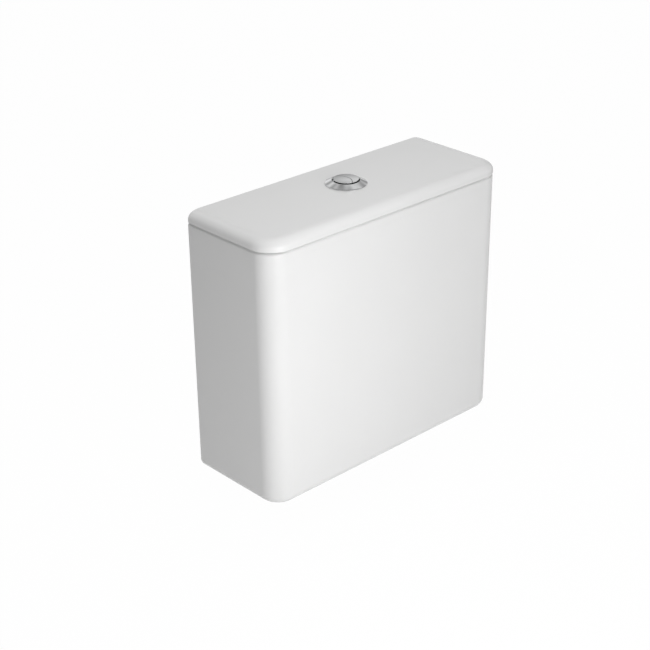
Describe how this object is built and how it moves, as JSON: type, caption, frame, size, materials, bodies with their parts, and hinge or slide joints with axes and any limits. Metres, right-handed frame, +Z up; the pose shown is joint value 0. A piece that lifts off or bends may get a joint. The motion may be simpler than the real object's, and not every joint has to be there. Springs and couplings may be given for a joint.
{
  "type": "toilet cistern",
  "caption": "Slim white china toilet cistern with lift-off lid, chrome split push button, flush valve, bottom-entry fill valve and bolts for a close-coupled pan.",
  "frame": {"origin": "on the outlet's axis, in the plane of the tank's underside", "axes": "+Z up, +Y to the wall behind, +X to the right seen from the front"},
  "size_m": [0.375, 0.14, 0.3851],
  "materials": {
    "china": "smooth white glaze",
    "chrome": "bright plating",
    "white_plastic": "moulded",
    "grey_plastic": "moulded",
    "blue_plastic": "moulded",
    "green_plastic": "moulded",
    "pale_plastic": "moulded",
    "orange_plastic": "moulded",
    "rubber": "matt",
    "steel": "turned"
  },
  "bodies": {
    "cistern": {"tank": "china", "valve_seat": "white_plastic", "seat_washer": "rubber", "tail_nut": "grey_plastic", "pan_gasket": "rubber", "valve_cage": "grey_plastic", "valve_frame": "grey_plastic", "lever_pins": "steel", "fill_base": "white_plastic", "fill_washer": "rubber", "fill_nut": "grey_plastic", "inlet_filter": "orange_plastic", "riser": "white_plastic", "riser_nut": "grey_plastic", "valve_head": "grey_plastic", "head_cap": "blue_plastic", "float_pin": "steel", "pan_bolts": "steel", "bolt_seals": "rubber", "bolt_washers": "steel", "bolt_nuts": "steel"},
    "lid": {"lid": "china", "button_bezel": "chrome", "lid_washer": "rubber", "lid_nut": "white_plastic", "spring_plate": "white_plastic", "full_spring": "steel", "half_spring": "steel"},
    "full_flush": {"full_button": "chrome", "full_push_rod": "blue_plastic"},
    "half_flush": {"half_button": "chrome", "half_push_rod": "blue_plastic"},
    "full_lever": {"full_lever": "blue_plastic"},
    "half_lever": {"half_lever": "green_plastic"},
    "canister": {"canister_seal": "rubber", "canister_foot": "pale_plastic", "canister_skirt": "pale_plastic", "half_flush_seat": "pale_plastic", "canister": "pale_plastic", "canister_cap": "pale_plastic"},
    "overflow": {"overflow_tube": "pale_plastic", "half_flush_seal": "rubber"},
    "float": {"float_cup": "pale_plastic", "float_rod": "white_plastic"},
    "float_lever": {"float_lever": "blue_plastic"}
  },
  "joints": [
    {"name": "lid_lift", "type": "slide", "parent": "cistern", "child": "lid", "axis": [0, 0, 1], "range_m": [0, 0.12]},
    {"name": "full_flush_press", "type": "slide", "parent": "lid", "child": "full_flush", "axis": [0, 0, -1], "range_m": [0, 0.007], "stiffness_N_per_m": 250, "springref_m": -0.008, "deforming": ["full_spring"]},
    {"name": "half_flush_press", "type": "slide", "parent": "lid", "child": "half_flush", "axis": [0, 0, -1], "range_m": [0, 0.007], "stiffness_N_per_m": 250, "springref_m": -0.008, "deforming": ["half_spring"]},
    {"name": "full_lever_turn", "type": "hinge", "parent": "cistern", "child": "full_lever", "pos_m": [-0.026, 0, 0.25], "axis": [0, 1, 0], "range_deg": [0, 24.6]},
    {"name": "half_lever_turn", "type": "hinge", "parent": "cistern", "child": "half_lever", "pos_m": [0.026, 0, 0.25], "axis": [0, -1, 0], "range_deg": [0, 24.6]},
    {"name": "canister_lift", "type": "slide", "parent": "cistern", "child": "canister", "axis": [0, 0, 1], "range_m": [0, 0.0103]},
    {"name": "overflow_lift", "type": "slide", "parent": "canister", "child": "overflow", "axis": [0, 0, 1], "range_m": [0, 0.0103]},
    {"name": "float_rise", "type": "slide", "parent": "cistern", "child": "float", "axis": [0, 0, 1], "range_m": [0, 0.014]},
    {"name": "float_lever_turn", "type": "hinge", "parent": "cistern", "child": "float_lever", "pos_m": [-0.111, 0, 0.262], "axis": [0, 1, 0], "range_deg": [0, 20.1]}
  ],
  "couplings": [
    {"joint": "full_lever_turn", "follows": "full_flush_press", "rad_per_m": 61.105},
    {"joint": "canister_lift", "follows": "full_flush_press", "ratio": 1.4665},
    {"joint": "half_lever_turn", "follows": "half_flush_press", "rad_per_m": 61.105},
    {"joint": "overflow_lift", "follows": "half_flush_press", "ratio": 1.4665},
    {"joint": "float_lever_turn", "follows": "float_rise", "rad_per_m": 24.933}
  ]
}
